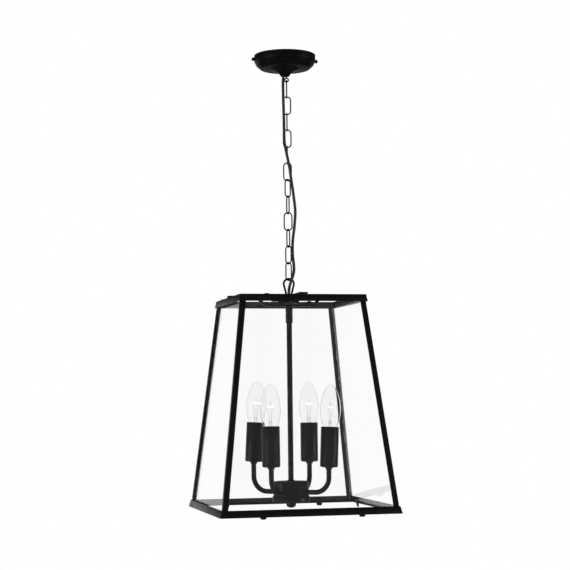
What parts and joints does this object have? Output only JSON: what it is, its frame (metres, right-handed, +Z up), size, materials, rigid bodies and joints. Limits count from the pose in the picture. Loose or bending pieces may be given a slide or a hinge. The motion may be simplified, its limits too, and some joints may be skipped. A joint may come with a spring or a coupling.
{
  "type": "hanging lantern",
  "caption": "Square tapered lantern with clear panes and candle lamps round a hub, hung on a chain from a round ceiling rose.",
  "frame": {"origin": "on the ceiling, on the line that the chain and the lantern hang along", "axes": "+Z up, along the hanging line; +X to the right and -Y towards a viewer who faces the front pane"},
  "size_m": [0.3052, 0.3052, 0.7941],
  "materials": {
    "black_paint": "satin black",
    "black_chain": "satin black",
    "zinc_steel": "zinc plated",
    "clear_glass": "clear, polished",
    "pale_nylon": "moulded",
    "black_sheath": "smooth"
  },
  "bodies": {
    "ceiling_fitting": {"ceiling_bracket": "zinc_steel", "ceiling_rose": "black_paint", "rose_screw_left": "black_paint", "rose_screw_right": "black_paint", "rose_hook": "black_chain", "rose_terminal_block": "pale_nylon", "flex_cable": "black_sheath"},
    "link_01": {"chain_link_01": "black_chain"},
    "link_02": {"chain_link_02": "black_chain"},
    "link_03": {"chain_link_03": "black_chain"},
    "link_04": {"chain_link_04": "black_chain"},
    "link_05": {"chain_link_05": "black_chain"},
    "link_06": {"chain_link_06": "black_chain"},
    "link_07": {"chain_link_07": "black_chain"},
    "link_08": {"chain_link_08": "black_chain"},
    "link_09": {"chain_link_09": "black_chain"},
    "link_10": {"chain_link_10": "black_chain"},
    "link_11": {"chain_link_11": "black_chain"},
    "link_12": {"chain_link_12": "black_chain"},
    "lantern_frame": {"lantern_loop": "black_paint", "loop_nut": "black_paint", "rod_coupler": "black_paint", "centre_rod": "black_paint", "cross_strap_lower": "black_paint", "cross_strap_upper": "black_paint", "top_ring": "black_paint", "bottom_ring": "black_paint", "post_back_right": "black_paint", "post_back_left": "black_paint", "post_front_left": "black_paint", "post_front_right": "black_paint", "glass_front": "clear_glass", "glass_right": "clear_glass", "glass_back": "clear_glass", "glass_left": "clear_glass", "hub_nut": "black_paint", "hub_cup": "black_paint", "hub_cover": "black_paint", "hub_terminal_block": "pale_nylon", "finial": "black_paint", "lamp_arm_1": "black_paint", "lamp_arm_2": "black_paint", "lamp_arm_3": "black_paint", "lamp_arm_4": "black_paint", "lamp_sleeve_1": "black_paint", "lamp_sleeve_2": "black_paint", "lamp_sleeve_3": "black_paint", "lamp_sleeve_4": "black_paint"},
    "bulb_1": {"lamp_1": "clear_glass"},
    "bulb_2": {"lamp_2": "clear_glass"},
    "bulb_3": {"lamp_3": "clear_glass"},
    "bulb_4": {"lamp_4": "clear_glass"},
    "turn_clip_front_1": {"clip_front_1": "black_paint"},
    "turn_clip_front_2": {"clip_front_2": "black_paint"},
    "turn_clip_right_1": {"clip_right_1": "black_paint"},
    "turn_clip_right_2": {"clip_right_2": "black_paint"},
    "turn_clip_back_1": {"clip_back_1": "black_paint"},
    "turn_clip_back_2": {"clip_back_2": "black_paint"},
    "turn_clip_left_1": {"clip_left_1": "black_paint"},
    "turn_clip_left_2": {"clip_left_2": "black_paint"}
  },
  "joints": [
    {"name": "hook_swing", "type": "hinge", "parent": "ceiling_fitting", "child": "link_01", "pos_m": [0, 0, -0.04635], "axis": [0.9746, -0.2241, 0], "range_deg": [-10, 10], "deforming": ["flex_cable"]},
    {"name": "chain_swing_01", "type": "hinge", "parent": "link_01", "child": "link_02", "pos_m": [0, 0, -0.07525], "axis": [0.2241, 0.9746, 0], "range_deg": [-10, 10], "deforming": ["flex_cable"]},
    {"name": "chain_swing_02", "type": "hinge", "parent": "link_02", "child": "link_03", "pos_m": [0, 0, -0.10435], "axis": [0.9746, -0.2241, 0], "range_deg": [-10, 10], "deforming": ["flex_cable"]},
    {"name": "chain_swing_03", "type": "hinge", "parent": "link_03", "child": "link_04", "pos_m": [0, 0, -0.13345], "axis": [0.2241, 0.9746, 0], "range_deg": [-10, 10], "deforming": ["flex_cable"]},
    {"name": "chain_swing_04", "type": "hinge", "parent": "link_04", "child": "link_05", "pos_m": [0, 0, -0.16255], "axis": [0.9746, -0.2241, 0], "range_deg": [-10, 10], "deforming": ["flex_cable"]},
    {"name": "chain_swing_05", "type": "hinge", "parent": "link_05", "child": "link_06", "pos_m": [0, 0, -0.19165], "axis": [0.2241, 0.9746, 0], "range_deg": [-10, 10], "deforming": ["flex_cable"]},
    {"name": "chain_swing_06", "type": "hinge", "parent": "link_06", "child": "link_07", "pos_m": [0, 0, -0.22075], "axis": [0.9746, -0.2241, 0], "range_deg": [-10, 10], "deforming": ["flex_cable"]},
    {"name": "chain_swing_07", "type": "hinge", "parent": "link_07", "child": "link_08", "pos_m": [0, 0, -0.24985], "axis": [0.8187, 0.5743, 0], "range_deg": [-10, 10], "deforming": ["flex_cable"]},
    {"name": "chain_swing_08", "type": "hinge", "parent": "link_08", "child": "link_09", "pos_m": [0, 0, -0.27895], "axis": [-0.088, 0.9961, 0], "range_deg": [-10, 10], "deforming": ["flex_cable"]},
    {"name": "chain_swing_09", "type": "hinge", "parent": "link_09", "child": "link_10", "pos_m": [0, 0, -0.30805], "axis": [-0.9746, 0.2241, 0], "range_deg": [-10, 10], "deforming": ["flex_cable"]},
    {"name": "chain_swing_10", "type": "hinge", "parent": "link_10", "child": "link_11", "pos_m": [0, 0, -0.33715], "axis": [-0.5585, -0.8295, 0], "range_deg": [-10, 10], "deforming": ["flex_cable"]},
    {"name": "chain_swing_11", "type": "hinge", "parent": "link_11", "child": "link_12", "pos_m": [0, 0, -0.36625], "axis": [0.5158, -0.8567, 0], "range_deg": [-10, 10], "deforming": ["flex_cable"]},
    {"name": "lantern_swing", "type": "hinge", "parent": "link_12", "child": "lantern_frame", "pos_m": [0, 0, -0.39535], "axis": [0.8476, 0.5307, 0], "range_deg": [-10, 10], "deforming": ["flex_cable"]},
    {"name": "bulb_1_unscrew", "type": "slide", "parent": "lantern_frame", "child": "bulb_1", "axis": [0.0541, 0, 0.9985], "range_m": [0, 0.04]},
    {"name": "bulb_2_unscrew", "type": "slide", "parent": "lantern_frame", "child": "bulb_2", "axis": [-0.007, 0, 1], "range_m": [0, 0.04]},
    {"name": "bulb_3_unscrew", "type": "slide", "parent": "lantern_frame", "child": "bulb_3", "axis": [0, 0, 1], "range_m": [0, 0.04]},
    {"name": "bulb_4_unscrew", "type": "slide", "parent": "lantern_frame", "child": "bulb_4", "axis": [0.0401, 0, 0.9992], "range_m": [0, 0.04]},
    {"name": "clip_front_1_turn", "type": "hinge", "parent": "lantern_frame", "child": "turn_clip_front_1", "pos_m": [-0.08, -0.14312, -0.7865], "axis": [0, -0.9931, 0.1172], "range_deg": [-90, 90]},
    {"name": "clip_front_2_turn", "type": "hinge", "parent": "lantern_frame", "child": "turn_clip_front_2", "pos_m": [0.086, -0.14312, -0.7865], "axis": [0, -0.9931, 0.1172], "range_deg": [-90, 90]},
    {"name": "clip_right_1_turn", "type": "hinge", "parent": "lantern_frame", "child": "turn_clip_right_1", "pos_m": [0.14312, -0.086, -0.7865], "axis": [0.9931, 0, 0.1172], "range_deg": [-90, 90]},
    {"name": "clip_right_2_turn", "type": "hinge", "parent": "lantern_frame", "child": "turn_clip_right_2", "pos_m": [0.14312, 0.086, -0.7865], "axis": [0.9931, 0, 0.1172], "range_deg": [-90, 90]},
    {"name": "clip_back_1_turn", "type": "hinge", "parent": "lantern_frame", "child": "turn_clip_back_1", "pos_m": [0.086, 0.14312, -0.7865], "axis": [0, 0.9931, 0.1172], "range_deg": [-90, 90]},
    {"name": "clip_back_2_turn", "type": "hinge", "parent": "lantern_frame", "child": "turn_clip_back_2", "pos_m": [-0.086, 0.14312, -0.7865], "axis": [0, 0.9931, 0.1172], "range_deg": [-90, 90]},
    {"name": "clip_left_1_turn", "type": "hinge", "parent": "lantern_frame", "child": "turn_clip_left_1", "pos_m": [-0.14312, 0.086, -0.7865], "axis": [-0.9931, 0, 0.1172], "range_deg": [-90, 90]},
    {"name": "clip_left_2_turn", "type": "hinge", "parent": "lantern_frame", "child": "turn_clip_left_2", "pos_m": [-0.14312, -0.086, -0.7865], "axis": [-0.9931, 0, 0.1172], "range_deg": [-90, 90]}
  ]
}
